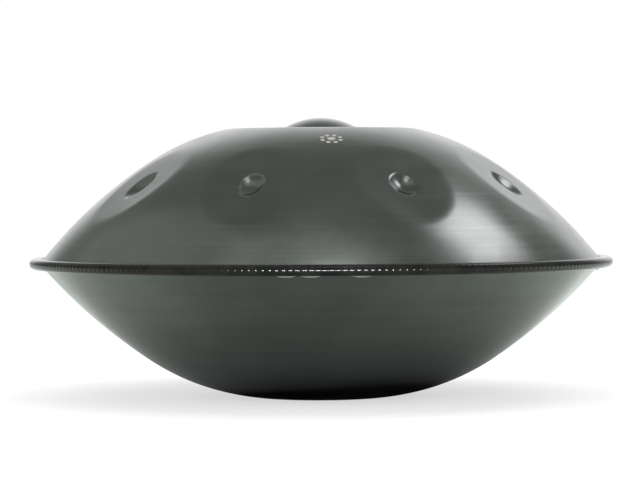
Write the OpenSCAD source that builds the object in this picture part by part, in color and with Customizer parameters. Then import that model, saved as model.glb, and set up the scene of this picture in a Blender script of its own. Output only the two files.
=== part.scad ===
// Handpan: two drawn steel shells glued rim to rim, with a ribbed edge trim over the joined flanges.
// The upper shell carries a domed centre note and a ring of eight oval tone fields.
// The lower shell has a rolled sound port in its middle, and the instrument rests on the ring round it.
// Origin: centre of that resting ring. +Z is up, and -Y is the side that faces the audience.

/* [Rim] */
// Overall diameter over the edge trim
overall_d = 536; // [520:1:560]
// Thickness of the steel sheet
sheet_t = 1.2; // [0.9:0.1:1.4]
// Thickness of the glue line between the two flanges
glue_t = 0.4; // [0.2:0.1:0.8]
// Radius of the bend from each wall into its flange
flange_bend_r = 3; // [2:0.5:4]
// Height of the edge trim
trim_h = 9.6; // [8.6:0.2:11]

/* [Upper shell] */
// Radius of curvature of the upper side wall
upper_side_r = 410; // [390:5:450]
// Radius of curvature of the upper crown
upper_crown_r = 211; // [200:1:225]
// Slope of the upper wall at the rim, in degrees
upper_wall_slope = 51.5; // [49:0.5:53]
// Slope where the upper wall meets the crown, in degrees
upper_crown_slope = 32.5; // [30:0.5:35]

/* [Centre note] */
// Radius of curvature of the centre dome
ding_dome_r = 66; // [60:1:75]
// Height of the centre dome above its field
ding_dome_h = 11.8; // [9:0.2:14]
// How far the centre field lies below the shoulder round it
ding_drop = 2; // [1:0.5:3]

/* [Tone fields] */
// Distance of the tone fields from the axis
field_circle_r = 184; // [180:1:190]
// Width of each field on one side, from the front to the back
field_widths = [86, 86, 98, 106];
// Length of a field for each unit of its width
field_ratio = 1.22; // [1.15:0.01:1.35]
// Width of sheet left between neighbouring fields
field_gap = 50; // [45:1:55]
// Turn of the whole ring about the axis, in degrees
field_turn = 2; // [-5:0.5:5]
// Width of each dimple on one side, from the front to the back
dimple_widths = [24.5, 28, 30, 31];
// Length of a dimple for each unit of its width
dimple_ratio = 1.3; // [1.2:0.05:1.4]
// Depth of each dimple
dimple_depth = 4.8; // [4:0.2:6]

/* [Lower shell] */
// Radius of curvature of the lower side wall
lower_side_r = 512; // [480:4:540]
// Radius of curvature of the lower crown
lower_crown_r = 216; // [205:1:230]
// Slope of the lower wall at the rim, in degrees
lower_wall_slope = 48.5; // [47:0.5:50]
// Slope where the lower wall meets the crown, in degrees
lower_crown_slope = 34.5; // [33:0.5:36]

/* [Sound port] */
// Clear radius of the port
port_r = 48; // [42:1:50]
// Outer radius of the roll from the underside into the port
port_lip_r = 8; // [6:0.5:9]
// Length of the straight neck above the roll
port_neck_l = 14; // [8:1:20]
// Width of the flat ring that the instrument rests on
rest_w = 4; // [3:0.5:5]

/* [Hidden] */
$fn = 160;

SIDE_R = 0;
CROWN_R = 1;
WALL_SLOPE = 2;
CROWN_SLOPE = 3;
upper = [upper_side_r, upper_crown_r, upper_wall_slope, upper_crown_slope];
lower = [lower_side_r, lower_crown_r, lower_wall_slope, lower_crown_slope];

// Flanges, and the point near the rim that each wall's outer surface passes through
trim_web_t = 3;
flange_r = overall_d / 2 - trim_web_t;
wall_foot = [flange_r - 10, 4];
seam_z = glue_t / 2;
flange_top_z = seam_z + sheet_t;

// Rounding of the shoulder ring and of the hollows beside it, on the outer surface
shoulder_r = 24;
shoulder_slope = 13;
hollow_r = 24;
dome_foot_r = 12;
knuckle_r = 40;

// Trim: steel clips inside a plastic cover, whose two ends meet at the back
trim_butt_angle = 0.15;
trim_leg_z = (flange_top_z + trim_h / 2) / 2;
trim_leg_r = (trim_h / 2 - flange_top_z) / 2;
clip_count = 280;
clip_w = 4;
clip_t = 0.6;
clip_leg_z = flange_top_z + 1;
clip_back_r = flange_r + 0.7;

// Longest straight step along a curved outline, and largest turn from one step to the next
arc_step = 6;
turn_step = 12;
cutter_h = 40;

// Points of an arc about centre, from one angle to another in degrees
function arc(centre, r, from, to) =
    let (steps = max(ceil(abs(to - from) * PI / 180 * r / arc_step), ceil(abs(to - from) / turn_step)))
    [for (i = [0:steps]) let (a = from + (to - from) * i / steps) centre + r * [cos(a), sin(a)]];

function reversed(points) = [for (i = [len(points) - 1:-1:0]) points[i]];

function angle_to(a, b) = atan2(b[1] - a[1], b[0] - a[0]);

// The sum of a list's first n values
function sum_of(list, n) = n == 0 ? 0 : list[n - 1] + sum_of(list, n - 1);

// A bowl is drawn here as a dome, in its half-section: [radius, height above the seam]
function toward_slope(r, slope) = r * [sin(slope), cos(slope)];

function side_centre(bowl) = wall_foot - toward_slope(bowl[SIDE_R], bowl[WALL_SLOPE]);

function crown_centre(bowl) =
    side_centre(bowl) + toward_slope(bowl[SIDE_R] - bowl[CROWN_R], bowl[CROWN_SLOPE]);

// Centre of a convex rounding of radius r that leaves the crown where the crown has this slope
function rounding_centre(bowl, r, slope) = crown_centre(bowl) + toward_slope(bowl[CROWN_R] - r, slope);

// Centre of the bend between wall and flange, whose top face is tangent to it
function bend_centre(bowl) =
    let (centre = side_centre(bowl), z = flange_top_z + flange_bend_r)
    [centre[0] + sqrt(pow(bowl[SIDE_R] + flange_bend_r, 2) - pow(z - centre[1], 2)), z];

// Surface from the crown, at from_slope, to the flange's edge; inset goes into the sheet
function wall_outline(bowl, from_slope, inset) =
    let (bend = bend_centre(bowl), bend_angle = angle_to(side_centre(bowl), bend))
    concat(
        arc(crown_centre(bowl), bowl[CROWN_R] - inset, 90 - from_slope, 90 - bowl[CROWN_SLOPE]),
        arc(side_centre(bowl), bowl[SIDE_R] - inset, 90 - bowl[CROWN_SLOPE], bend_angle),
        arc(bend, flange_bend_r + inset, bend_angle + 180, 270),
        [[flange_r, flange_top_z - inset]]
    );

// Where both flanges are flat, so that the trim can grip them
flange_flat_x = max(bend_centre(upper)[0], bend_centre(lower)[0]);

// Upper shell: shoulder ring, sunken centre field and centre dome
shoulder = rounding_centre(upper, shoulder_r, shoulder_slope);
ding_field_z = shoulder[1] + shoulder_r - ding_drop;
hollow_z = ding_field_z + hollow_r;
hollow = [shoulder[0] - sqrt(pow(shoulder_r + hollow_r, 2) - pow(hollow_z - shoulder[1], 2)), hollow_z];
dome = [0, ding_field_z + ding_dome_h - ding_dome_r];
dome_foot_z = ding_field_z + dome_foot_r;
dome_foot = [sqrt(pow(ding_dome_r + dome_foot_r, 2) - pow(dome_foot_z - dome[1], 2)), dome_foot_z];

function upper_outline(inset) =
    let (dome_end = angle_to(dome, dome_foot), hollow_end = angle_to(hollow, shoulder))
    concat(
        arc(dome, ding_dome_r - inset, 90, dome_end),
        arc(dome_foot, dome_foot_r + inset, dome_end + 180, 270),
        arc(hollow, hollow_r + inset, -90, hollow_end),
        arc(shoulder, shoulder_r - inset, hollow_end + 180, 90 - shoulder_slope),
        wall_outline(upper, shoulder_slope, inset)
    );

// Lower shell, drawn upside down: port neck, lip, resting ring and knuckle
lip_x = port_r + port_lip_r;
knuckle_slope = asin((lip_x + rest_w - crown_centre(lower)[0]) / (lower_crown_r - knuckle_r));
knuckle = rounding_centre(lower, knuckle_r, knuckle_slope);
rest_depth = knuckle[1] + knuckle_r;
lip = [lip_x, rest_depth - port_lip_r];

function lower_outline(inset) =
    concat(
        [[port_r + inset, lip[1] - port_neck_l]],
        arc(lip, port_lip_r - inset, 180, 90),
        arc(knuckle, knuckle_r - inset, 90, 90 - knuckle_slope),
        wall_outline(lower, knuckle_slope, inset)
    );

// Tone fields: widths of fields and dimples round the whole ring, starting right of the front
ring_widths = concat(field_widths, reversed(field_widths));
ring_dimples = concat(dimple_widths, reversed(dimple_widths));
field_count = len(ring_widths);
field_pitches = [
    for (i = [0:field_count - 1]) (ring_widths[i] + ring_widths[(i + 1) % field_count]) / 2 + field_gap
];
pitch_total = sum_of(field_pitches, field_count);

// Azimuth of each field
first_field_angle = -90 + field_turn + 180 * field_pitches[field_count - 1] / pitch_total;
field_angles = [
    for (i = [0:field_count - 1]) first_field_angle + 360 * sum_of(field_pitches, i) / pitch_total
];

// Field plate: flat across its width, and bowed along its length so that it comes out as a long oval
field_slope = asin((field_circle_r - side_centre(upper)[0]) / upper_side_r);
field_z = side_centre(upper)[1] + upper_side_r * cos(field_slope);
cross_r = field_circle_r / sin(field_slope);
field_bow_r = 1 / (1 / upper_side_r - 1 / (cross_r * pow(field_ratio, 2)));

function field_depth(w) = pow(w / 2, 2) / (2 * cross_r);

// Radius whose cap has this width at the dimple's depth
function cap_r(w) = (pow(w / 2, 2) + pow(dimple_depth, 2)) / (2 * dimple_depth);

// Places its children on a tone field: x down the slope, z out of the shell
module on_field(i) {
    rotate([0, 0, field_angles[i]])
        translate([field_circle_r, 0, field_z])
            rotate([0, field_slope, 0])
                children();
}

// Everything above one field's plate, down to inset below its outer face
module field_cutter(i, inset) {
    w = ring_widths[i];
    margin = 1.25;
    block = [w * field_ratio * margin, w * margin, cutter_h];
    difference() {
        cube(block, center = true);
        translate([0, 0, -field_depth(w) - field_bow_r])
            rotate([90, 0, 0])
                cylinder(r = field_bow_r - inset, h = block[1] + 1, center = true, $fn = 256);
    }
}

// Oval bowl of one dimple: a disc with a full round edge, standing on edge along the field
module dimple_bowl(i, inset) {
    edge_r = cap_r(ring_dimples[i]);
    disc_r = cap_r(ring_dimples[i] * dimple_ratio);
    translate([0, 0, disc_r - dimple_depth - field_depth(ring_widths[i])])
        rotate([90, 0, 0])
            rotate_extrude()
                intersection() {
                    translate([disc_r - edge_r, 0])
                        circle(edge_r + inset);
                    translate([0, -edge_r - inset - 1])
                        square([disc_r + inset + 1, 2 * (edge_r + inset + 1)]);
                }
}

// What the fields and dimples take out of a dome whose surface lies inset below the outer one
module field_cuts(inset) {
    for (i = [0:field_count - 1])
        on_field(i) {
            field_cutter(i, inset);
            dimple_bowl(i, inset);
        }
}

module on_seam() {
    translate([0, 0, rest_depth])
        children();
}

// Half-section of one shell's sheet
module sheet_section(outer, inner) {
    polygon(concat(outer, reversed(inner)));
}

module upper_section() {
    sheet_section(upper_outline(0), upper_outline(sheet_t));
}

module lower_section() {
    mirror([0, 1])
        sheet_section(lower_outline(0), lower_outline(sheet_t));
}

module top_shell() {
    floor_z = -1;
    color([0.29, 0.32, 0.29])
        on_seam()
            difference() {
                rotate_extrude()
                    polygon(concat(upper_outline(0), [[flange_r, seam_z], [0, seam_z]]));
                field_cuts(0);
                difference() {
                    rotate_extrude()
                        polygon(concat(
                            [for (p = upper_outline(sheet_t)) if (p[0] < bend_centre(upper)[0]) p],
                            [[bend_centre(upper)[0], seam_z], [bend_centre(upper)[0], floor_z], [0, floor_z]]
                        ));
                    field_cuts(sheet_t);
                }
            }
}

module bottom_shell() {
    color([0.25, 0.28, 0.25])
        on_seam()
            rotate_extrude()
                lower_section();
}

// Glue line between the flanges, with the bead that squeezes out inside the rim
module seam_adhesive() {
    bead_r = 1.8;
    bead_x = flange_flat_x - 2.4;
    color([0.75, 0.7, 0.55])
        on_seam()
            rotate_extrude()
                difference() {
                    union() {
                        translate([bead_x, -seam_z])
                            square([flange_r - bead_x, glue_t]);
                        translate([bead_x, 0])
                            circle(bead_r);
                    }
                    upper_section();
                    lower_section();
                }
}

// Round outline made of straight steps, so that what is swept or cut with it has plain conical faces
module stepped_circle(r) {
    polygon(arc([0, 0], r, 0, 360 - turn_step));
}

// Half-section of the trim: a rounded nose and two legs that grip the flanges
module trim_outline() {
    nose_x = overall_d / 2 - trim_h / 2;
    translate([nose_x, 0])
        circle(trim_h / 2);
    for (side = [-1, 1]) {
        translate([flange_flat_x, side * trim_leg_z])
            stepped_circle(trim_leg_r);
        translate([flange_flat_x, side * trim_leg_z - trim_leg_r])
            square([nose_x - flange_flat_x, 2 * trim_leg_r]);
    }
}

// Half-section of the steel clips: a squared U round the flanges
module clip_section() {
    leg_x = flange_flat_x + 1;
    back_x = clip_back_r + clip_t;
    leg_z = clip_leg_z + clip_t;
    polygon([
        [leg_x, -leg_z],
        [back_x, -leg_z],
        [back_x, leg_z],
        [leg_x, leg_z],
        [leg_x, clip_leg_z],
        [clip_back_r, clip_leg_z],
        [clip_back_r, -clip_leg_z],
        [leg_x, -clip_leg_z]
    ]);
}

module trim_section() {
    difference() {
        trim_outline();
        translate([flange_r - trim_h - trim_web_t, -flange_top_z])
            square([trim_h + trim_web_t, 2 * flange_top_z]);
    }
}

module trim_cover() {
    color([0.16, 0.16, 0.16])
        on_seam()
            rotate([0, 0, 90 + trim_butt_angle / 2])
                rotate_extrude(angle = 360 - trim_butt_angle)
                    difference() {
                        trim_section();
                        clip_section();
                    }
}

module trim_clips() {
    pitch = 360 / clip_count;
    clip_angle = clip_w / clip_back_r * 180 / PI;
    color([0.55, 0.56, 0.58])
        on_seam()
            for (i = [0:clip_count - 1])
                rotate([0, 0, 90 + (i + 0.5) * pitch - clip_angle / 2])
                    rotate_extrude(angle = clip_angle)
                        clip_section();
}

// Clear bead in the groove between the trim's lower leg and the lower wall
module trim_adhesive() {
    bead_r = 1.8;
    color([0.8, 0.8, 0.76])
        on_seam()
            rotate_extrude()
                difference() {
                    translate([flange_flat_x - 2.4, -trim_h / 2 + 0.8])
                        stepped_circle(bead_r);
                    trim_section();
                    lower_section();
                }
}

top_shell();
bottom_shell();
seam_adhesive();
trim_cover();
trim_clips();
trim_adhesive();
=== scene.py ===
import math

import bmesh
import bpy
import numpy as np
from mathutils import Matrix, Quaternion, Vector, noise


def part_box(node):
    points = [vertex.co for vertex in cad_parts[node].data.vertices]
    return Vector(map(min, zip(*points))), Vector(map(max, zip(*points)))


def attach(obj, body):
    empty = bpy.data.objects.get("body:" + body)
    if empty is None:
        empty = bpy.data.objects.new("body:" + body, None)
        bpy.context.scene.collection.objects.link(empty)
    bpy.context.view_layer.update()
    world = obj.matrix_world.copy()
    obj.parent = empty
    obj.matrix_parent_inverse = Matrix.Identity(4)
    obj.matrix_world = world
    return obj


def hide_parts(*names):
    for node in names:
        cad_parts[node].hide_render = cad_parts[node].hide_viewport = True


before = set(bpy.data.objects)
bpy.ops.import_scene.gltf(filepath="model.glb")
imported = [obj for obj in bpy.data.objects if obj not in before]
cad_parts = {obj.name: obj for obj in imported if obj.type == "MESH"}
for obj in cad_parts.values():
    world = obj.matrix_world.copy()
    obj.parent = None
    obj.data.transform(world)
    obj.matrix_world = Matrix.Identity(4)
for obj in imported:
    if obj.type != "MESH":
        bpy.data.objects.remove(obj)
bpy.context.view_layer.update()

MM = 0.001
FULL_TURN = 2 * math.pi
FRONT = -math.pi / 2
BACK = math.pi / 2
FACING_AXIS = -math.pi / 2

# ---------------------------------------------------------------------------------------------
# Half-sections. A point is [radius, height above the seam]. A slope is the tilt of the face: at 0 it
# looks up, and at a positive slope it looks outwards.


def toward(slope):
    """Unit vector square to a face with this slope."""
    return np.stack([np.sin(slope), np.cos(slope)], -1)


def slope_from(centre, point):
    """Slope of a face square to the line from centre to point."""
    return math.atan2(point[0] - centre[0], point[1] - centre[1])


def touching(centre, distance, height):
    """The point at this height and this distance from centre, on its outer side."""
    return np.array([centre[0] + math.sqrt(distance**2 - (height - centre[1]) ** 2), height])


class Arc:
    """Part of a half-section whose slope changes steadily. A hollow arc has a negative radius."""

    def __init__(self, centre, radius, from_slope, to_slope):
        self.centre = np.array(centre)
        self.radius = radius
        self.from_slope = from_slope
        self.turn = to_slope - from_slope
        self.length = abs(radius * self.turn)

    def at(self, share, inset):
        normal = toward(self.from_slope + self.turn * share)
        return self.centre + (self.radius - inset) * normal, normal


class Line:
    """Straight part of a half-section, with its outer face on the left of its direction."""

    turn = 0

    def __init__(self, start, end):
        self.start = np.array(start)
        self.step = np.array(end) - self.start
        self.length = np.linalg.norm(self.step)
        self.normal = np.array([-self.step[1], self.step[0]]) / self.length

    def at(self, share, inset):
        normal = np.broadcast_to(self.normal, share.shape + (2,))
        return self.start + share[..., None] * self.step - inset * normal, normal


class Section:
    """Half-section of a shell's outer face, from the middle outwards, read by the distance along it."""

    readings = 4000

    def __init__(self, parts):
        self.parts = parts
        self.ends = np.cumsum([0] + [part.length for part in parts])
        self.length = self.ends[-1]

    def at(self, distance, inset=0.0):
        """Points and outward normals at distances along the face, moved inset into the sheet."""
        distance = np.asarray(distance, float)
        place = np.zeros(distance.shape + (2,))
        normal = np.zeros(distance.shape + (2,))
        index = np.clip(np.searchsorted(self.ends, distance) - 1, 0, len(self.parts) - 1)
        for number, part in enumerate(self.parts):
            here = index == number
            share = (distance[here] - self.ends[number]) / part.length
            place[here], normal[here] = part.at(share, inset)
        return place, normal

    def radius(self, distance):
        return self.at(distance)[0][..., 0]

    def distance(self, radius):
        """Distance along the face at this radius."""
        tries = np.linspace(0, self.length, self.readings)
        return float(np.interp(radius, self.radius(tries), tries))

    def marks(self, start, end, step, turn):
        """Distances from start to end, at most step apart, and closer together where the face bends."""
        marks = [start]
        for part, low, high in zip(self.parts, self.ends, self.ends[1:]):
            low, high = max(low, start), min(high, end)
            if high > low:
                bend = abs(part.turn) * (high - low) / part.length
                count = math.ceil(max((high - low) / step, bend / turn))
                marks += list(np.linspace(low, high, count + 1)[1:])
        return marks


# ---------------------------------------------------------------------------------------------
# Sizes of the sheets. Those on the frame come from its boxes, and the rest repeat the CAD model's.

top_low, top_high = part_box("top_shell")
bottom_low, bottom_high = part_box("bottom_shell")
trim_low, trim_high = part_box("trim_cover")

SEAM_Z = (top_low.z + bottom_high.z) / 2
SHEET_T = 1.2 * MM
FLANGE_R = top_high.x
FLANGE_TOP = (top_low.z - bottom_high.z) / 2 + SHEET_T
BEND_R = 3 * MM
WALL_FOOT = np.array([FLANGE_R - 10 * MM, 4 * MM])

SHOULDER_R = 24 * MM
SHOULDER_SLOPE = math.radians(13)
DING_DROP = 2 * MM
HOLLOW_R = 24 * MM
DOME_R = 66 * MM
DOME_H = 11.8 * MM
DOME_FOOT_R = 12 * MM

PORT_R = 48 * MM
LIP_R = 8 * MM
NECK_L = 14 * MM
REST_W = 4 * MM
KNUCKLE_R = 40 * MM


class Bowl:
    """One shell's wall, drawn as a dome above the seam: a crown arc, then a side arc down to the rim.

    Both slopes are in degrees: the wall's at the rim, and the one where crown and side meet.
    """

    def __init__(self, side_r, crown_r, wall_slope, crown_slope):
        self.side_r = side_r
        self.crown_r = crown_r
        self.crown_slope = math.radians(crown_slope)
        self.side_centre = WALL_FOOT - toward(math.radians(wall_slope)) * side_r
        self.crown_centre = self.side_centre + toward(self.crown_slope) * (side_r - crown_r)
        self.bend = touching(self.side_centre, side_r + BEND_R, FLANGE_TOP + BEND_R)
        self.bend_slope = slope_from(self.side_centre, self.bend)

    def rounding(self, radius, slope):
        """Centre of a rounding that leaves the crown where the crown has this slope."""
        return self.crown_centre + toward(slope) * (self.crown_r - radius)

    def wall(self, from_slope):
        """Parts of the half-section from the crown out to the flange's edge."""
        return [
            Arc(self.crown_centre, self.crown_r, from_slope, self.crown_slope),
            Arc(self.side_centre, self.side_r, self.crown_slope, self.bend_slope),
            Arc(self.bend, -BEND_R, self.bend_slope, 0),
            Line((self.bend[0], FLANGE_TOP), (FLANGE_R, FLANGE_TOP)),
        ]


upper = Bowl(side_r=410 * MM, crown_r=211 * MM, wall_slope=51.5, crown_slope=32.5)
lower = Bowl(side_r=512 * MM, crown_r=216 * MM, wall_slope=48.5, crown_slope=34.5)


def upper_section():
    """Centre dome, sunken centre field, shoulder ring and wall."""
    shoulder = upper.rounding(SHOULDER_R, SHOULDER_SLOPE)
    field_z = shoulder[1] + SHOULDER_R - DING_DROP
    hollow_z = field_z + HOLLOW_R
    hollow_reach = math.sqrt((SHOULDER_R + HOLLOW_R) ** 2 - (hollow_z - shoulder[1]) ** 2)
    hollow = np.array([shoulder[0] - hollow_reach, hollow_z])
    hollow_slope = slope_from(shoulder, hollow)
    dome = np.array([0, field_z + DOME_H - DOME_R])
    foot = touching(dome, DOME_R + DOME_FOOT_R, field_z + DOME_FOOT_R)
    foot_slope = slope_from(dome, foot)
    middle = [
        Arc(dome, DOME_R, 0, foot_slope),
        Arc(foot, -DOME_FOOT_R, foot_slope, 0),
        Line((foot[0], field_z), (hollow[0], field_z)),
        Arc(hollow, -HOLLOW_R, 0, hollow_slope),
        Arc(shoulder, SHOULDER_R, hollow_slope, SHOULDER_SLOPE),
    ]
    return Section(middle + upper.wall(SHOULDER_SLOPE))


def lower_section():
    """Port neck, rolled lip, resting ring, knuckle and wall, drawn upside down."""
    rest_r = PORT_R + LIP_R + REST_W
    crown_reach = lower.crown_r - KNUCKLE_R
    knuckle_slope = math.asin((rest_r - lower.crown_centre[0]) / crown_reach)
    knuckle = lower.rounding(KNUCKLE_R, knuckle_slope)
    rest_depth = knuckle[1] + KNUCKLE_R
    lip = np.array([PORT_R + LIP_R, rest_depth - LIP_R])
    middle = [
        Line((PORT_R, lip[1] - NECK_L), (PORT_R, lip[1])),
        Arc(lip, LIP_R, FACING_AXIS, 0),
        Line((lip[0], rest_depth), (rest_r, rest_depth)),
        Arc(knuckle, KNUCKLE_R, 0, knuckle_slope),
    ]
    return Section(middle + lower.wall(knuckle_slope))


# ---------------------------------------------------------------------------------------------
# Meshes


class Surface:
    """Points and faces of one piece, gathered as grids and rings, then welded into a mesh."""

    weld_distance = 0.002 * MM
    sharp_angle = math.radians(50)

    def __init__(self):
        self.points = []
        self.faces = []
        self.count = 0

    def ring(self, points):
        """Adds a row of points and returns their numbers."""
        self.points.append(points)
        self.count += len(points)
        return np.arange(self.count - len(points), self.count)

    def grid(self, rows):
        """Adds closed rows of points, joined to each other by four-sided faces."""
        index = np.array([self.ring(row) for row in rows])
        wide = np.concatenate([index, index[:, :1]], 1)
        quads = np.stack([wide[:-1, :-1], wide[1:, :-1], wide[1:, 1:], wide[:-1, 1:]], -1)
        self.faces += quads.reshape(-1, 4).tolist()
        return index

    def bridge(self, fine, coarse):
        """Joins two closed rings. The coarse one has as many points as the fine one, or half."""
        ratio = len(fine) // len(coarse)
        for k in range(len(coarse)):
            run = [fine[(k * ratio + j) % len(fine)] for j in range(ratio + 1)]
            self.faces.append(run + [coarse[(k + 1) % len(coarse)], coarse[k]])

    def cap(self, ring):
        """Closes a ring with one flat face."""
        self.faces.append(list(ring))

    def build(self, name):
        """The mesh object, with doubled points welded and its faces turned outwards."""
        mesh = bpy.data.meshes.new(name)
        mesh.from_pydata(np.concatenate(self.points).tolist(), [], self.faces)
        form = bmesh.new()
        form.from_mesh(mesh)
        bmesh.ops.remove_doubles(form, verts=form.verts, dist=self.weld_distance)
        bmesh.ops.recalc_face_normals(form, faces=form.faces)
        if form.calc_volume(signed=True) < 0:
            bmesh.ops.reverse_faces(form, faces=form.faces)
        form.to_mesh(mesh)
        form.free()
        mesh.shade_smooth()
        mesh.set_sharp_from_angle(angle=self.sharp_angle)
        piece = bpy.data.objects.new(name, mesh)
        bpy.context.scene.collection.objects.link(piece)
        return piece


def around(radius, azimuth, height):
    """Points at these cylindrical coordinates."""
    radius, azimuth, height = np.broadcast_arrays(radius, azimuth, height)
    return np.stack([radius * np.cos(azimuth), radius * np.sin(azimuth), height], -1)


def unevenness(points, size, seed=0):
    """Smooth noise from about -1 to 1 at each point, with features of this size."""
    flat = points.reshape(-1, 3) / size
    values = [noise.noise(Vector((x, y, z + seed))) for x, y, z in flat]
    return np.array(values).reshape(points.shape[:-1])


def rounded(value, blend):
    """The value where it is above 0, and 0 where it is below, with a smooth change between."""
    return np.maximum(value, 0) + blend / 4 * np.maximum(1 - np.abs(value) / blend, 0) ** 2


class Shell:
    """A drawn sheet: a half-section turned round the axis, less what is hammered into it.

    side is 1 above the seam and -1 below it. The sheet waves a little, but not near its rim, nor
    inside the radius calm_r.
    """

    wave_height = 0.12 * MM
    wave_size = 36 * MM
    rim_calm = 8 * MM
    ring_step = 3 * MM
    ring_turn = math.radians(6)

    def __init__(self, section, side, calm_r, hammered=None):
        self.section = section
        self.side = side
        self.calm_r = calm_r
        self.hammered = hammered

    def points(self, distance, azimuth, inset=0.0):
        """Points of the sheet at distances along its half-section, inset into it."""
        distance, azimuth = np.broadcast_arrays(np.asarray(distance, float), azimuth)
        face = self.section.at(distance)[0]
        radius = face[..., 0]
        calm = np.clip((WALL_FOOT[0] - radius) / self.rim_calm, 0, 1)
        calm = calm * np.clip((radius - self.calm_r) / self.wave_size, 0, 1)
        wave = unevenness(around(radius, azimuth, face[..., 1]), self.wave_size, self.side)
        drop = self.wave_height * calm * wave
        if self.hammered:
            drop = drop + self.hammered(distance, azimuth, radius)
        place, normal = self.section.at(distance, inset)
        place = place - normal * drop[..., None]
        return around(place[..., 0], azimuth, SEAM_Z + self.side * place[..., 1])

    def skin(self, surface, start, end, azimuths, inset, coarse=1, thin_at=(0, 0)):
        """Adds rings from start to end, with fewer points inside the radii thin_at. Returns the last."""
        last = None
        for mark in self.section.marks(start, end, self.ring_step * coarse, self.ring_turn * coarse):
            radius = self.section.radius(mark)
            stride = 1 + (radius < thin_at[0]) + 2 * (radius < thin_at[1])
            ring = surface.ring(self.points(mark, azimuths[::stride], inset))
            if last is not None:
                surface.bridge(ring, last)
            last = ring
        return last


# ---------------------------------------------------------------------------------------------
# Upper shell: each tone field has a cell of its own, whose rings follow its dimple and its edge

FIELD_R = 184 * MM
FIELD_WIDTHS = [width * MM for width in (86, 86, 98, 106)]
FIELD_RATIO = 1.22
FIELD_GAP = 50 * MM
FIELD_TURN = math.radians(2)
FIELD_BLEND = 0.7 * MM
DIMPLE_WIDTHS = [width * MM for width in (24.5, 28, 30, 31)]
DIMPLE_RATIO = 1.3
DIMPLE_DEPTH = 4.8 * MM
DIMPLE_BLEND = 1.1 * MM

# Each cell is this long on both sides of its field's middle
CELL_REACH = 90 * MM
CELL_COLUMNS = 36
CELL_ROWS = 32

# Rings in a cell, as shares of the way out to the edge of a dimple or of a field
EDGE_BAND = (0.86, 1.12)
PLATE_START = 0.46
EDGE_RINGS = 12
INNER_RINGS = 8
MARGIN_RINGS = 8

# Radii near the axis inside which each ring has a half, then a quarter, of the points
THIN_AT = (22 * MM, 9 * MM)

ring_widths = FIELD_WIDTHS + FIELD_WIDTHS[::-1]
ring_dimples = DIMPLE_WIDTHS + DIMPLE_WIDTHS[::-1]
ring_length = sum(width + FIELD_GAP for width in ring_widths)
cell_spans = [FULL_TURN * (width + FIELD_GAP) / ring_length for width in ring_widths]
cell_starts = FRONT + FIELD_TURN + np.cumsum([0] + cell_spans[:-1])
field_azimuths = cell_starts + np.array(cell_spans) / 2

upper_face = upper_section()
field_distance = upper_face.distance(FIELD_R)
field_cross_r = upper.side_r * FIELD_R / (FIELD_R - upper.side_centre[0])


def oval(along, across, length, width):
    """0 at the middle of an oval, and 1 on its edge."""
    return (2 * along / length) ** 2 + (2 * across / width) ** 2


def fields_and_dimples(distance, azimuth, radius):
    """How far the tone fields and their dimples lie below the plain wall."""
    along = distance - field_distance
    drop = np.zeros(along.shape)
    for middle, width, dimple_width in zip(field_azimuths, ring_widths, ring_dimples):
        across = ((azimuth - middle + math.pi) % FULL_TURN - math.pi) * radius
        field_depth = (width / 2) ** 2 / (2 * field_cross_r)
        field = 1 - oval(along, across, width * FIELD_RATIO, width)
        dimple = 1 - oval(along, across, dimple_width * DIMPLE_RATIO, dimple_width)
        drop += rounded(field_depth * field, FIELD_BLEND)
        drop += rounded(DIMPLE_DEPTH * dimple, DIMPLE_BLEND)
    return drop


# Its sheet waves right to the axis
upper_shell = Shell(upper_face, side=1, calm_r=-Shell.wave_size, hammered=fields_and_dimples)


def cell_edge(start, span, coarse):
    """Distances and azimuths round the edge of a tone field's cell."""
    near = field_distance - CELL_REACH
    far = field_distance + CELL_REACH
    corners = [(near, start), (near, start + span), (far, start + span), (far, start), (near, start)]
    counts = [CELL_COLUMNS // coarse, CELL_ROWS // coarse] * 2
    sides = [
        np.linspace(corner, following, count, endpoint=False)
        for corner, following, count in zip(corners, corners[1:], counts)
    ]
    return np.concatenate(sides).T


def oval_sizes(width, dimple_width, coarse):
    """Half lengths and half widths of a cell's rings, from the dimple's middle to past the field."""
    dimple = np.array([dimple_width * DIMPLE_RATIO, dimple_width]) / 2
    field = np.array([width * FIELD_RATIO, width]) / 2
    band = np.linspace(*EDGE_BAND, EDGE_RINGS // coarse)
    bowl = np.linspace(0, EDGE_BAND[0], INNER_RINGS // coarse, endpoint=False)
    plate = np.linspace(PLATE_START, EDGE_BAND[0], INNER_RINGS // coarse, endpoint=False)
    return np.concatenate([
        np.outer(bowl, dimple),
        np.outer(band, dimple),
        np.outer(plate, field),
        np.outer(band, field),
    ])


def add_cell(surface, cell, inset, coarse):
    """Adds one tone field, out to the edge of its cell. The rings turn from ovals into that edge."""
    start, span, width, dimple_width = cell
    middle = start + span / 2
    edge_distance, edge_azimuth = cell_edge(start, span, coarse)
    edge_across = (edge_azimuth - middle) * upper_face.radius(edge_distance)
    bearing = np.arctan2(edge_across, (edge_distance - field_distance) / FIELD_RATIO)
    rings = []
    for half_length, half_width in oval_sizes(width, dimple_width, coarse):
        distance = field_distance + half_length * np.cos(bearing)
        azimuth = middle + half_width * np.sin(bearing) / upper_face.radius(distance)
        rings.append((distance, azimuth))
    for share in np.linspace(0, 1, MARGIN_RINGS // coarse + 1)[1:]:
        spread = share * (edge_distance - distance), share * (edge_azimuth - azimuth)
        rings.append((distance + spread[0], azimuth + spread[1]))
    surface.grid([upper_shell.points(d, a, inset) for d, a in rings])


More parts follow.
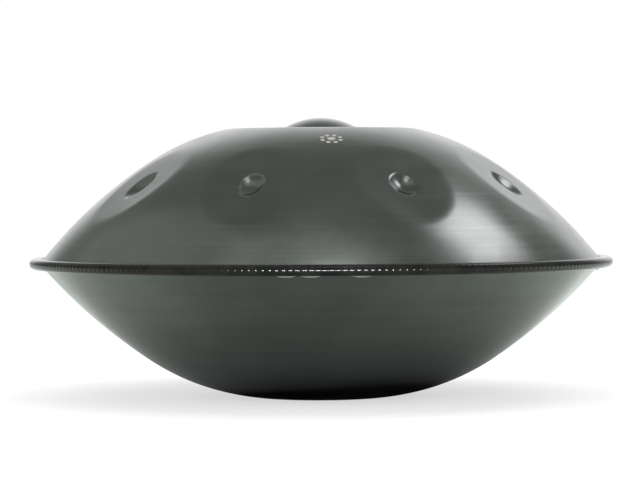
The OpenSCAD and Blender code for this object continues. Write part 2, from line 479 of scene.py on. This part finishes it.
def add_upper_skin(surface, inset, coarse):
    """Adds the outer or inner face of the upper shell, and returns its ring at the flange's edge."""
    count = CELL_COLUMNS // coarse
    azimuths = np.concatenate([
        np.linspace(start, start + span, count, endpoint=False)
        for start, span in zip(cell_starts, cell_spans)
    ])
    near = field_distance - CELL_REACH
    far = field_distance + CELL_REACH
    upper_shell.skin(surface, 0.0, near, azimuths, inset, coarse, THIN_AT)
    for cell in zip(cell_starts, cell_spans, ring_widths, ring_dimples):
        add_cell(surface, cell, inset, coarse)
    return upper_shell.skin(surface, far, upper_face.length, azimuths, inset, coarse)


def make_upper_shell():
    surface = Surface()
    outer_edge = add_upper_skin(surface, 0.0, coarse=1)
    inner_edge = add_upper_skin(surface, SHEET_T, coarse=2)
    surface.bridge(outer_edge, inner_edge)
    return surface.build("upper_shell")


# ---------------------------------------------------------------------------------------------
# Lower shell

LOWER_COLUMNS = 288


def make_lower_shell():
    shell = Shell(lower_section(), side=-1, calm_r=PORT_R + LIP_R + REST_W)
    surface = Surface()
    edges = []
    for inset, coarse in ((0.0, 1), (SHEET_T, 2)):
        azimuths = np.linspace(0, FULL_TURN, LOWER_COLUMNS // coarse, endpoint=False)
        first = surface.count
        last = shell.skin(surface, 0.0, shell.section.length, azimuths, inset, coarse)
        edges.append((np.arange(first, first + len(azimuths)), last))
    (outer_neck, outer_rim), (inner_neck, inner_rim) = edges
    surface.bridge(outer_neck, inner_neck)
    surface.bridge(outer_rim, inner_rim)
    return surface.build("lower_shell")


# ---------------------------------------------------------------------------------------------
# Edge trim and its bead of clear adhesive

TRIM_R = trim_high.x
TRIM_H = trim_high.z - trim_low.z
TRIM_GAP = math.radians(0.15)
RIB_COUNT = 280
RIB_DEPTH = 0.45 * MM
RIB_FLATNESS = 3
# Columns of points on one rib, in pitches from its middle
RIB_COLUMNS = (-0.5, -0.43, -0.34, -0.2, 0.0, 0.2, 0.34, 0.43)
# The ribs end where the face's normal rises or falls this much: 0 is level, and 1 straight up
RIB_FADE = 0.8
NOSE_POINTS = 13
LEG_POINTS = 5
# Both flanges are flat outside this radius
flange_flat_r = max(upper.bend[0], lower.bend[0])


def trim_outline():
    """Points, normals and share of ribbing round the trim's half-section. Only the nose is ribbed."""
    nose = Arc((TRIM_R - TRIM_H / 2, 0), TRIM_H / 2, math.pi, 0)
    leg_r = (TRIM_H / 2 - FLANGE_TOP) / 2
    leg_z = (TRIM_H / 2 + FLANGE_TOP) / 2
    leg_ends = [Arc((flange_flat_r, z), leg_r, 0, -math.pi) for z in (leg_z, -leg_z)]
    channel = Line((FLANGE_R, FLANGE_TOP), (FLANGE_R, -FLANGE_TOP))
    parts = [nose, leg_ends[0], channel, leg_ends[1]]
    counts = [NOSE_POINTS, LEG_POINTS, 2, LEG_POINTS]
    rows = []
    for part, count in zip(parts, counts):
        place, normal = part.at(np.linspace(0, 1, count), 0)
        upright = np.abs(normal[:, 1])
        ribbing = np.clip(1 - upright / RIB_FADE, 0, 1) * (part is nose)
        rows.append(np.column_stack([place, normal, ribbing]))
    return np.concatenate(rows)


def make_trim_cover():
    """Ribbed U of flexible plastic, swept round the rim from one side of its joint to the other."""
    place_r, place_z, normal_r, normal_z, ribbing = trim_outline().T
    pitch = FULL_TURN / RIB_COUNT
    columns = np.add.outer(np.arange(RIB_COUNT), np.array(RIB_COLUMNS) + 0.5).ravel()
    columns = np.append(columns, RIB_COUNT)
    groove = RIB_DEPTH * np.abs(2 * (columns % 1) - 1) ** RIB_FLATNESS
    turns = np.clip(columns * pitch, TRIM_GAP / 2, FULL_TURN - TRIM_GAP / 2)
    surface = Surface()
    rows = []
    for turn, depth in zip(turns, groove):
        sunk = ribbing * depth
        rows.append(around(place_r - normal_r * sunk, BACK + turn, SEAM_Z + place_z - normal_z * sunk))
    index = surface.grid(rows)
    surface.cap(index[0])
    surface.cap(index[-1])
    return surface.build("edge_trim")


BEAD_R = 0.987 * MM
BEAD_WAVE = 0.105 * MM
BEAD_WAVE_SIZE = 14 * MM
BEAD_MIDDLE_R = flange_flat_r - 2.4 * MM
BEAD_MIDDLE_Z = SEAM_Z - TRIM_H / 2 + 0.8 * MM
BEAD_DROP_R = 1.5 * MM
BEAD_DROP_WIDTH = math.radians(1.6)
BEAD_COLUMNS = 1080
BEAD_SIDES = 12
# Drops whose glints show in front, and others placed by chance outside a clear front
FRONT_DROPS = [FRONT + math.radians(offset) for offset in (-6.6, -2.0, 7.6)]
OTHER_DROPS = 16
CLEAR_FRONT = math.radians(75)
DROP_SEED = 7


def make_trim_bead():
    """Clear adhesive under the trim's lower leg, thicker where the nozzle paused.

    It runs into the trim and the sheet beside it. Drops that lie close together add up.
    """
    chance = np.random.default_rng(DROP_SEED)
    others = chance.uniform(FRONT + CLEAR_FRONT, FRONT + FULL_TURN - CLEAR_FRONT, OTHER_DROPS)
    drops = FRONT_DROPS + list(others)
    azimuths = np.linspace(0, FULL_TURN, BEAD_COLUMNS, endpoint=False)
    middle = around(BEAD_MIDDLE_R, azimuths, BEAD_MIDDLE_Z)
    radius = BEAD_R + BEAD_WAVE * unevenness(middle, BEAD_WAVE_SIZE)
    for drop in drops:
        offset = (azimuths - drop + math.pi) % FULL_TURN - math.pi
        radius += BEAD_DROP_R * np.exp(-((offset / BEAD_DROP_WIDTH) ** 4))
    surface = Surface()
    sides = np.linspace(0, FULL_TURN, BEAD_SIDES, endpoint=False)
    rows = [
        around(BEAD_MIDDLE_R + thick * np.cos(sides), azimuth, BEAD_MIDDLE_Z + thick * np.sin(sides))
        for azimuth, thick in zip(azimuths, radius)
    ]
    index = surface.grid(rows)
    surface.bridge(index[-1], index[0])
    return surface.build("trim_adhesive_bead")


# ---------------------------------------------------------------------------------------------
# Etched mark: a plain ring of dots on the front of the shoulder

MARK_R = 8.5 * MM
MARK_DOTS = 8
MARK_DOT_R = 2 * MM
MARK_MIDDLE_R = 3.6 * MM
MARK_PLACE_R = 121 * MM
MARK_TURN = math.radians(4.5)
MARK_RAISED = 0.04 * MM
DOT_SIDES = 20


def add_dot(surface, along, across, size):
    """Adds one thin round dot that lies on the upper shell."""
    sides = np.linspace(0, FULL_TURN, DOT_SIDES, endpoint=False)
    distance = upper_face.distance(MARK_PLACE_R) + along + size * np.cos(sides)
    shift = (across + size * np.sin(sides)) / upper_face.radius(distance)
    azimuth = FRONT + MARK_TURN + shift
    faces = [upper_shell.points(distance, azimuth, inset) for inset in (-MARK_RAISED, MARK_RAISED)]
    index = surface.grid(faces)
    surface.cap(index[0])
    surface.cap(index[1])


def make_mark():
    surface = Surface()
    add_dot(surface, 0.0, 0.0, MARK_MIDDLE_R)
    for k in range(MARK_DOTS):
        bearing = FULL_TURN * (k + 0.5) / MARK_DOTS
        add_dot(surface, MARK_R * math.cos(bearing), MARK_R * math.sin(bearing), MARK_DOT_R)
    return surface.build("etched_mark")


# ---------------------------------------------------------------------------------------------
# Materials

# Most of a noise texture's values lie between these
NOISE_RANGE = (0.3, 0.7)


class Nodes:
    """Adds shader nodes to a tree in short statements."""

    def __init__(self, tree):
        self.tree = tree
        tree.nodes.clear()

    def add(self, kind, inputs=(), **settings):
        """Adds a node, sets its properties, and sets or links its inputs. Returns the node."""
        made = self.tree.nodes.new("ShaderNode" + kind)
        for name, value in settings.items():
            setattr(made, name, value)
        for name, value in dict(inputs).items():
            if isinstance(value, bpy.types.NodeSocket):
                self.tree.links.new(value, made.inputs[name])
            else:
                made.inputs[name].default_value = value
        return made

    def plus(self, first, second):
        return self.add("Math", {0: first, 1: second}, operation="ADD").outputs[0]

    def times(self, first, second):
        return self.add("Math", {0: first, 1: second}, operation="MULTIPLY").outputs[0]

    def ramp(self, value, low, high, to_low=0.0, to_high=1.0):
        """Smooth change from to_low to to_high as the value goes from low to high."""
        inputs = {0: value, 1: low, 2: high, 3: to_low, 4: to_high}
        return self.add("MapRange", inputs, interpolation_type="SMOOTHSTEP").outputs[0]

    def noise(self, vector, scale, detail=3.0, roughness=0.5):
        inputs = {"Vector": vector, "Scale": scale, "Detail": detail, "Roughness": roughness}
        return self.add("TexNoise", inputs).outputs[0]

    def bump(self, height, strength, distance):
        inputs = {"Height": height, "Strength": strength, "Distance": distance}
        return self.add("Bump", inputs).outputs[0]

    def tint(self, factor, first, second):
        """A colour between two, by the factor. Each is a socket, or red, green and blue."""
        ends = [end if isinstance(end, bpy.types.NodeSocket) else (*end, 1) for end in (first, second)]
        return self.add("Mix", {0: factor, 6: ends[0], 7: ends[1]}, data_type="RGBA").outputs[2]


def new_material(name):
    material = bpy.data.materials.new(name)
    material.use_nodes = True
    return material, Nodes(material.node_tree)


def finish_material(nodes, shader):
    nodes.add("OutputMaterial", {"Surface": shader.outputs[0]})


STEEL_DARK = (0.158, 0.172, 0.163)
STEEL_LIGHT = (0.200, 0.217, 0.206)
CLOUD_SHARE = 0.7
# The spun lines are counted outwards from the axis, and downwards by this share of the height
SPUN_LINES = 380.0
SPUN_SLANT = 0.7


def shell_steel():
    """Satin, gas-hardened steel: faint spun lines round the axis, cloudy oxide and a fine tooth."""
    material, nodes = new_material("shell_steel")
    place = nodes.add("TexCoord").outputs["Object"]
    axes = nodes.add("SeparateXYZ", {0: place}).outputs
    flat = nodes.add("CombineXYZ", {0: axes[0], 1: axes[1]}).outputs[0]
    radius = nodes.add("VectorMath", {0: flat}, operation="LENGTH").outputs["Value"]
    bearing = nodes.add("VectorMath", {0: flat}, operation="NORMALIZE").outputs[0]
    turned = nodes.add("SeparateXYZ", {0: bearing}).outputs
    across_lines = nodes.times(nodes.plus(radius, nodes.times(axes[2], -SPUN_SLANT)), SPUN_LINES)
    line_place = nodes.add("CombineXYZ", {0: turned[0], 1: turned[1], 2: across_lines}).outputs[0]
    lines = nodes.noise(line_place, scale=1, detail=2)
    cloud = nodes.noise(place, scale=9, detail=4, roughness=0.6)
    smudge = nodes.noise(place, scale=26)
    tooth = nodes.noise(place, scale=1600, detail=2)
    shade = nodes.plus(nodes.times(cloud, CLOUD_SHARE), nodes.times(lines, 1 - CLOUD_SHARE))
    colour = nodes.tint(nodes.ramp(shade, 0.35, 0.65), STEEL_DARK, STEEL_LIGHT)
    smudge_rough = nodes.ramp(smudge, *NOISE_RANGE, 0.215, 0.255)
    line_rough = nodes.ramp(lines, *NOISE_RANGE, 0, 0.02)
    rough = nodes.plus(smudge_rough, line_rough)
    bump = nodes.bump(tooth, strength=0.05, distance=0.03 * MM)
    shader = nodes.add(
        "BsdfPrincipled",
        {"Base Color": colour, "Metallic": 1.0, "Roughness": rough, "Normal": bump},
    )
    finish_material(nodes, shader)
    return material


def trim_plastic():
    """Dark flexible plastic, patchy in colour, with a fine grain."""
    material, nodes = new_material("trim_plastic")
    place = nodes.add("TexCoord").outputs["Object"]
    patches = nodes.noise(place, scale=60, detail=4)
    grain = nodes.noise(place, scale=2400, detail=2)
    shade = nodes.ramp(patches, *NOISE_RANGE)
    colour = nodes.tint(shade, (0.003, 0.0035, 0.003), (0.008, 0.0085, 0.0075))
    rough = nodes.ramp(grain, *NOISE_RANGE, 0.12, 0.17)
    bump = nodes.bump(grain, strength=0.1, distance=0.04 * MM)
    shader = nodes.add(
        "BsdfPrincipled",
        {"Base Color": colour, "Roughness": rough, "Normal": bump, "IOR": 1.34},
    )
    finish_material(nodes, shader)
    return material


def clear_adhesive():
    """Clear adhesive with small bubbles and a dulled skin."""
    material, nodes = new_material("clear_adhesive")
    place = nodes.add("TexCoord").outputs["Object"]
    bubbles = nodes.noise(place, scale=700, detail=2)
    colour = nodes.tint(bubbles, (0.14, 0.14, 0.13), (0.24, 0.24, 0.22))
    shader = nodes.add(
        "BsdfPrincipled",
        {
            "Base Color": colour,
            "Roughness": nodes.ramp(bubbles, *NOISE_RANGE, 0.34, 0.46),
            "IOR": 1.46,
            "Transmission Weight": 0.5,
        },
    )
    finish_material(nodes, shader)
    return material


def seam_epoxy():
    """Pale set epoxy, cloudy, with a slightly lumpy skin."""
    material, nodes = new_material("seam_epoxy")
    place = nodes.add("TexCoord").outputs["Object"]
    cloud = nodes.noise(place, scale=130, detail=4)
    colour = nodes.tint(nodes.ramp(cloud, *NOISE_RANGE), (0.42, 0.37, 0.24), (0.60, 0.54, 0.38))
    bump = nodes.bump(cloud, strength=0.4, distance=0.2 * MM)
    shader = nodes.add(
        "BsdfPrincipled",
        {
            "Base Color": colour,
            "Roughness": nodes.ramp(cloud, *NOISE_RANGE, 0.3, 0.5),
            "Normal": bump,
            "IOR": 1.5,
        },
    )
    finish_material(nodes, shader)
    return material


def clip_steel():
    """Bright rolled strip steel, finely mottled."""
    material, nodes = new_material("clip_steel")
    place = nodes.add("TexCoord").outputs["Object"]
    scratches = nodes.noise(place, scale=900, detail=5, roughness=0.7)
    colour = nodes.tint(scratches, (0.42, 0.43, 0.44), (0.60, 0.61, 0.62))
    shader = nodes.add(
        "BsdfPrincipled",
        {
            "Base Color": colour,
            "Metallic": 1.0,
            "Roughness": nodes.ramp(scratches, *NOISE_RANGE, 0.22, 0.4),
        },
    )
    finish_material(nodes, shader)
    return material


def etched_steel():
    """Steel laid bare by etching: paler and duller than the dark skin round it."""
    material, nodes = new_material("etched_steel")
    place = nodes.add("TexCoord").outputs["Object"]
    pits = nodes.noise(place, scale=3000)
    colour = nodes.tint(pits, (0.42, 0.40, 0.36), (0.62, 0.59, 0.54))
    shader = nodes.add(
        "BsdfPrincipled",
        {
            "Base Color": colour,
            "Metallic": 0.7,
            "Roughness": nodes.ramp(pits, *NOISE_RANGE, 0.45, 0.6),
        },
    )
    finish_material(nodes, shader)
    return material


def dress(piece, material):
    """Gives the piece one material."""
    piece.data.materials.clear()
    piece.data.materials.append(material)


# ---------------------------------------------------------------------------------------------
# The object


def place_piece(piece, material, slot, *replaced):
    """Dresses a new piece, and lets it stand for CAD nodes."""
    dress(piece, material)
    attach(piece, "root")
    if replaced:
        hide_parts(*replaced)


steel = shell_steel()
place_piece(make_upper_shell(), steel, "shell_steel", "top_shell")
place_piece(make_lower_shell(), steel, "shell_steel", "bottom_shell")
place_piece(make_trim_cover(), trim_plastic(), "trim_plastic", "trim_cover")
place_piece(make_trim_bead(), clear_adhesive(), "clear_adhesive", "trim_adhesive")
place_piece(make_mark(), etched_steel(), "shell_steel")
dress(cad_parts["seam_adhesive"], seam_epoxy())
dress(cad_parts["trim_clips"], clip_steel())

# ---------------------------------------------------------------------------------------------
# Stage: a pale floor, a white studio behind the object, a dim room in front of it, and soft lights

CAMERA_DISTANCE = 10 * TRIM_R
CAMERA_ABOVE_RIM = 73 * MM
# Focal length and film width, in millimetres
CAMERA_LENS = 163.4
CAMERA_FILM = 36
CAMERA_PITCH = math.radians(1.13)
CAMERA_YAW = math.radians(0.02)
CAMERA_ROLL = math.radians(-0.27)


def make_camera():
    """A long lens in front of the object, a little above its rim."""
    camera = bpy.data.objects.new("camera", bpy.data.cameras.new("camera"))
    camera.data.lens = CAMERA_LENS
    camera.data.sensor_width = CAMERA_FILM
    place = Matrix.Translation((0, -CAMERA_DISTANCE, SEAM_Z + CAMERA_ABOVE_RIM))
    turn = Matrix.Rotation(CAMERA_YAW, 4, "Z")
    tilt = Matrix.Rotation(math.pi / 2 - CAMERA_PITCH, 4, "X")
    roll = Matrix.Rotation(CAMERA_ROLL, 4, "Z")
    camera.matrix_world = place @ turn @ tilt @ roll
    bpy.context.scene.collection.objects.link(camera)
    bpy.context.scene.camera = camera


FLOOR_R = 2.4
FLOOR_SIDES = 96


def add_disc(name, material, height):
    """A wide round sheet under the object."""
    bpy.ops.mesh.primitive_circle_add(vertices=FLOOR_SIDES, radius=FLOOR_R, fill_type="NGON")
    disc = bpy.context.object
    disc.name = name
    dress(disc, material)
    disc.location.z = height
    return disc


FLOOR_PAINT = (0.4, 0.4, 0.4, 1)
FLOOR_GLOW = 0.6
# Distances from the middle where the floor begins to fade, and where it has gone
FLOOR_FADE = (0.5, 1.6)
FLOOR_Z = -0.3 * MM


def make_floor():
    """A pale floor whose own glow keeps the shadow faint. It fades into the white of the studio."""
    material, nodes = new_material("floor")
    place = nodes.add("TexCoord").outputs["Object"]
    reach = nodes.add("VectorMath", {0: place}, operation="LENGTH").outputs["Value"]
    paint = nodes.add(
        "BsdfPrincipled",
        {
            "Base Color": FLOOR_PAINT,
            "Roughness": 1.0,
            "Specular IOR Level": 0.0,
            "Emission Color": (1, 1, 1, 1),
            "Emission Strength": FLOOR_GLOW,
        },
    )
    clear = nodes.add("BsdfTransparent")
    faded = nodes.add(
        "MixShader", {0: nodes.ramp(reach, *FLOOR_FADE), 1: paint.outputs[0], 2: clear.outputs[0]}
    )
    finish_material(nodes, faded)
    add_disc("floor", material, FLOOR_Z).visible_glossy = False


# The mirrored floor glows, with the object's shadow painted on it: black out to one radius, and at its
# full brightness from the other
PAINTED_SHADOW_MIDDLE = (0.012, -0.01)
PAINTED_SHADOW_R = 0.09
PALE_FLOOR_R = 0.48
# Its full brightness on the left and on the right: painted light, stronger on the right
PALE_FLOOR_LEFT = 1.05
PALE_FLOOR_RIGHT = 1.4
# Between these distances its glow dims towards the front, down to this share: painted shade
DIM_FRONT_REACH = (0.32, 0.12)
DIM_FRONT_FLOOR = 0.5
FLOOR_TINT = (0.95, 1.0, 0.95, 1)


def make_painted_shadow_floor():
    """What the lower shell mirrors: a glowing floor with the object's shadow painted dark under it,
    paler outwards, painted shade in front and painted light stronger on the right.
    """
    material, nodes = new_material("painted_shadow_floor")
    place = nodes.add("TexCoord").outputs["Object"]
    reach = nodes.add("VectorMath", {0: place}, operation="LENGTH").outputs["Value"]
    axes = nodes.add("SeparateXYZ", {0: place}).outputs
    pale = nodes.ramp(axes[0], -PALE_FLOOR_R, PALE_FLOOR_R, PALE_FLOOR_LEFT, PALE_FLOOR_RIGHT)
    far_front, near_front = DIM_FRONT_REACH
    front = nodes.ramp(axes[1], -far_front, -near_front, DIM_FRONT_FLOOR, 1.0)
    steps = {0: reach, 1: PAINTED_SHADOW_R, 2: PALE_FLOOR_R, 3: 0.0, 4: nodes.times(pale, front)}
    level = nodes.add("MapRange", steps).outputs[0]
    finish_material(nodes, nodes.add("Emission", {"Color": FLOOR_TINT, "Strength": level}))
    disc = add_disc("painted_shadow_floor", material, 2 * FLOOR_Z)
    disc.location.xy = PAINTED_SHADOW_MIDDLE
    disc.visible_camera = False
    disc.visible_diffuse = False
    disc.visible_shadow = False


ROOM_LIGHT = (0.29, 0.31, 0.285)
BACKDROP_LIGHT = (1.25, 1.25, 1.25)
BACKDROP_LEFT = math.radians(-22)
BACKDROP_LEFT_BLUR = math.radians(6)
BACKDROP_RIGHT = math.radians(33)
BACKDROP_RIGHT_BLUR = math.radians(6)
BACKDROP_TOP = math.radians(38.5)
BACKDROP_TOP_BLUR = math.radians(18)
HORIZON_BLUR = 0.03


def make_world():
    """What the steel mirrors: a dim room, a white backdrop behind the object, and white below.

    The camera and dull surfaces see plain white all round.
    """
    world = bpy.data.worlds.new("studio")
    world.use_nodes = True
    nodes = Nodes(world.node_tree)
    direction = nodes.add("TexCoord").outputs["Generated"]
    axes = nodes.add("SeparateXYZ", {0: direction}).outputs
    azimuth = nodes.add("Math", {0: axes[0], 1: axes[1]}, operation="ARCTAN2").outputs[0]
    past_left = nodes.ramp(
        azimuth, BACKDROP_LEFT - BACKDROP_LEFT_BLUR, BACKDROP_LEFT + BACKDROP_LEFT_BLUR
    )
    before_right = nodes.ramp(
        azimuth, BACKDROP_RIGHT + BACKDROP_RIGHT_BLUR, BACKDROP_RIGHT - BACKDROP_RIGHT_BLUR
    )
    under_top = nodes.ramp(
        axes[2],
        math.sin(BACKDROP_TOP + BACKDROP_TOP_BLUR),
        math.sin(BACKDROP_TOP - BACKDROP_TOP_BLUR),
    )
    backdrop = nodes.times(nodes.times(past_left, before_right), under_top)
    below = nodes.ramp(axes[2], 0.0, -HORIZON_BLUR)
    white = nodes.add("Math", {0: backdrop, 1: below}, operation="MAXIMUM").outputs[0]
    light = nodes.tint(white, ROOM_LIGHT, BACKDROP_LIGHT)
    path = nodes.add("LightPath").outputs
    seen_plainly = nodes.plus(path["Is Camera Ray"], path["Is Diffuse Ray"])
    emission = nodes.add("Background", {"Color": nodes.tint(seen_plainly, light, (1, 1, 1))})
    nodes.add("OutputWorld", {"Surface": emission.outputs[0]})
    bpy.context.scene.world = world


def add_soft_box(
    name, azimuth, elevation, distance, size, brightness, roll=0, glossy=True, colour=(1, 1, 1)
):
    """An area light facing the object, whose face is as bright at any size.

    Angles are in degrees. Azimuth 0 is behind the object, and 90 is to the right.
    """
    lamp = bpy.data.objects.new(name, bpy.data.lights.new(name, "AREA"))
    lamp.data.shape = "RECTANGLE"
    lamp.data.size, lamp.data.size_y = size
    lamp.data.energy = brightness * math.pi * size[0] * size[1]
    lamp.data.color = colour
    turn, rise = math.radians(azimuth), math.radians(elevation)
    away = Vector((math.sin(turn) * math.cos(rise), math.cos(turn) * math.cos(rise), math.sin(rise)))
    lamp.location = Vector((0, 0, SEAM_Z)) + away * distance
    tilt = Quaternion((0, 0, 1), math.radians(roll))
    lamp.rotation_euler = (away.to_track_quat("Z", "Y") @ tilt).to_euler()
    lamp.visible_camera = False
    lamp.visible_glossy = glossy
    bpy.context.scene.collection.objects.link(lamp)


make_camera()
make_floor()
make_painted_shadow_floor()
make_world()
add_soft_box("key", 73, 51.5, 1.82, size=(0.7, 0.5), brightness=4, roll=-30, colour=(1, 0.94, 0.98))
add_soft_box("left", -77, 49, 1.9, size=(2.4, 0.66), brightness=0.22, roll=42)
add_soft_box("overhead", 190, 70, 1.87, size=(1.5, 0.55), brightness=0.36)
add_soft_box("front", 172, 60, 1.8, size=(0.4, 0.3), brightness=3.4)
add_soft_box("lens_side", 178, -1, 2.3, size=(1.0, 0.2), brightness=120)
add_soft_box("floor_light", 0, 90, 2.0, size=(2.5, 2.5), brightness=0.8, glossy=False)
bpy.context.scene.view_settings.view_transform = "Standard"
